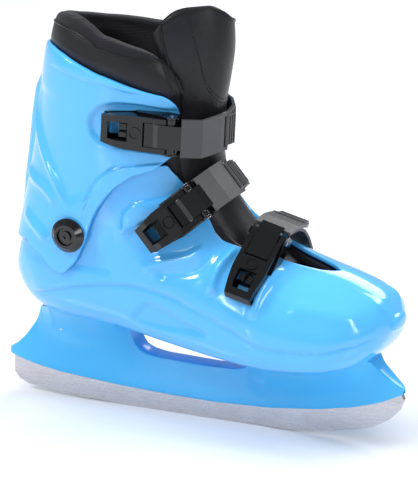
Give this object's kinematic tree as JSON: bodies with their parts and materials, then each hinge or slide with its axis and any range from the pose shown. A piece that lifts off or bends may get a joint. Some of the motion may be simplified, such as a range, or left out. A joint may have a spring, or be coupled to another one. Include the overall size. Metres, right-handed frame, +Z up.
{
  "type": "ice skate",
  "caption": "Hard-shell ice skate for the right foot: hinged cuff, three lever buckles with toothed straps, padded liner and steel runner.",
  "frame": {"origin": "on the ice, at the middle of the runner's flat ground stretch", "axes": "+X forward to the toe, +Y left (inner side of the foot), +Z up"},
  "size_m": [0.2915, 0.106, 0.287],
  "materials": {
    "runner_steel": "satin, ground edges",
    "holder_blue": "gloss moulded",
    "fastener_steel": "zinc plated",
    "shell_blue": "gloss moulded",
    "cuff_blue": "gloss moulded",
    "liner": "soft synthetic leather, fine grain",
    "tongue": "soft synthetic leather, fine grain",
    "footbed": "knitted cover on foam",
    "black_plastic": "gloss moulded",
    "buckle_black": "gloss moulded",
    "strap_grey": "fine matte texture",
    "ladder_grey": "matte nylon"
  },
  "bodies": {
    "boot": {"runner": "runner_steel", "blade_holder": "holder_blue", "runner_nuts": "fastener_steel", "runner_bolts": "fastener_steel", "holder_screws": "fastener_steel", "lower_shell": "shell_blue", "liner_foot": "liner", "tongue_lower": "tongue", "footbed": "footbed", "pivot_bushings": "black_plastic", "pivot_nuts": "fastener_steel", "pivot_caps": "black_plastic", "pivot_screws": "fastener_steel", "instep_base": "buckle_black", "instep_rivets": "fastener_steel", "instep_lever_pin": "fastener_steel", "instep_ladder_screw": "fastener_steel", "toe_base": "buckle_black", "toe_rivets": "fastener_steel", "toe_lever_pin": "fastener_steel", "toe_ladder_screw": "fastener_steel"},
    "cuff": {"cuff": "cuff_blue", "liner_collar": "liner", "tongue_upper": "tongue", "cuff_eyelets": "cuff_blue", "ankle_base": "buckle_black", "ankle_rivets": "fastener_steel", "ankle_lever_pin": "fastener_steel", "ankle_ladder_screw": "fastener_steel"},
    "ankle_lever": {"ankle_lever": "buckle_black", "ankle_link_pin": "fastener_steel"},
    "ankle_arm": {"ankle_link": "buckle_black", "ankle_arm": "strap_grey", "ankle_pawl_pin": "fastener_steel"},
    "ankle_pawl": {"ankle_pawl": "strap_grey"},
    "ankle_ladder": {"ankle_ladder": "ladder_grey"},
    "instep_lever": {"instep_lever": "buckle_black", "instep_link_pin": "fastener_steel"},
    "instep_arm": {"instep_link": "buckle_black", "instep_arm": "strap_grey", "instep_pawl_pin": "fastener_steel"},
    "instep_pawl": {"instep_pawl": "strap_grey"},
    "instep_ladder": {"instep_ladder": "ladder_grey"},
    "toe_lever": {"toe_lever": "buckle_black", "toe_link_pin": "fastener_steel"},
    "toe_arm": {"toe_link": "buckle_black", "toe_arm": "strap_grey", "toe_pawl_pin": "fastener_steel"},
    "toe_pawl": {"toe_pawl": "strap_grey"},
    "toe_ladder": {"toe_ladder": "ladder_grey"}
  },
  "joints": [
    {"name": "cuff_tilt", "type": "hinge", "parent": "boot", "child": "cuff", "pos_m": [-0.08, 0, 0.131], "axis": [0, 1, 0], "range_deg": [-2, 5]},
    {"name": "ankle_lever_turn", "type": "hinge", "parent": "cuff", "child": "ankle_lever", "pos_m": [-0.00499, -0.0426, 0.20926], "axis": [0.0523, 0, 0.9986], "range_deg": [0, 90]},
    {"name": "ankle_arm_turn", "type": "hinge", "parent": "ankle_lever", "child": "ankle_arm", "pos_m": [-0.01549, -0.04606, 0.20981], "axis": [0.0523, 0, 0.9986], "range_deg": [-110, 0]},
    {"name": "ankle_pawl_turn", "type": "hinge", "parent": "ankle_arm", "child": "ankle_pawl", "pos_m": [0.0209, -0.01247, 0.20791], "axis": [-0.0523, 0, -0.9986], "range_deg": [0, 15], "stiffness_Nm_per_rad": 0.02},
    {"name": "ankle_ladder_turn", "type": "hinge", "parent": "cuff", "child": "ankle_ladder", "pos_m": [-0.02796, 0.0456, 0.21047], "axis": [0.0523, 0, 0.9986], "range_deg": [0, 2.8]},
    {"name": "instep_lever_turn", "type": "hinge", "parent": "boot", "child": "instep_lever", "pos_m": [0.01198, -0.0378, 0.16538], "axis": [-0.6561, 0, 0.7547], "range_deg": [0, 75]},
    {"name": "instep_arm_turn", "type": "hinge", "parent": "instep_lever", "child": "instep_arm", "pos_m": [0.0041, -0.04144, 0.15852], "axis": [-0.6561, 0, 0.7547], "range_deg": [-92, 0]},
    {"name": "instep_pawl_turn", "type": "hinge", "parent": "instep_arm", "child": "instep_pawl", "pos_m": [0.02463, -0.01039, 0.17637], "axis": [0.6561, 0, -0.7547], "range_deg": [0, 15], "stiffness_Nm_per_rad": 0.02},
    {"name": "instep_ladder_turn", "type": "hinge", "parent": "boot", "child": "instep_ladder", "pos_m": [-0.00462, 0.0385, 0.15094], "axis": [-0.6561, 0, 0.7547], "range_deg": [0, 2.35]},
    {"name": "toe_lever_turn", "type": "hinge", "parent": "boot", "child": "toe_lever", "pos_m": [0.05565, -0.0201, 0.1405], "axis": [-0.9744, 0, 0.225], "range_deg": [0, 90]},
    {"name": "toe_arm_turn", "type": "hinge", "parent": "toe_lever", "child": "toe_arm", "pos_m": [0.05416, -0.02896, 0.13404], "axis": [-0.9744, 0, 0.225], "range_deg": [-110, 0]},
    {"name": "toe_pawl_turn", "type": "hinge", "parent": "toe_arm", "child": "toe_pawl", "pos_m": [0.05642, 0.01353, 0.14382], "axis": [0.9744, 0, -0.225], "range_deg": [0, 15], "stiffness_Nm_per_rad": 0.02},
    {"name": "toe_ladder_turn", "type": "hinge", "parent": "boot", "child": "toe_ladder", "pos_m": [0.04903, 0.0452, 0.1118], "axis": [-0.9744, 0, 0.225], "range_deg": [0, 2.8]}
  ],
  "couplings": [
    {"joint": "ankle_arm_turn", "follows": "ankle_lever_turn", "ratio": -1.2},
    {"joint": "ankle_ladder_turn", "follows": "ankle_lever_turn", "ratio": 0.03},
    {"joint": "instep_arm_turn", "follows": "instep_lever_turn", "ratio": -1.2},
    {"joint": "instep_ladder_turn", "follows": "instep_lever_turn", "ratio": 0.03},
    {"joint": "toe_arm_turn", "follows": "toe_lever_turn", "ratio": -1.2},
    {"joint": "toe_ladder_turn", "follows": "toe_lever_turn", "ratio": 0.03}
  ]
}
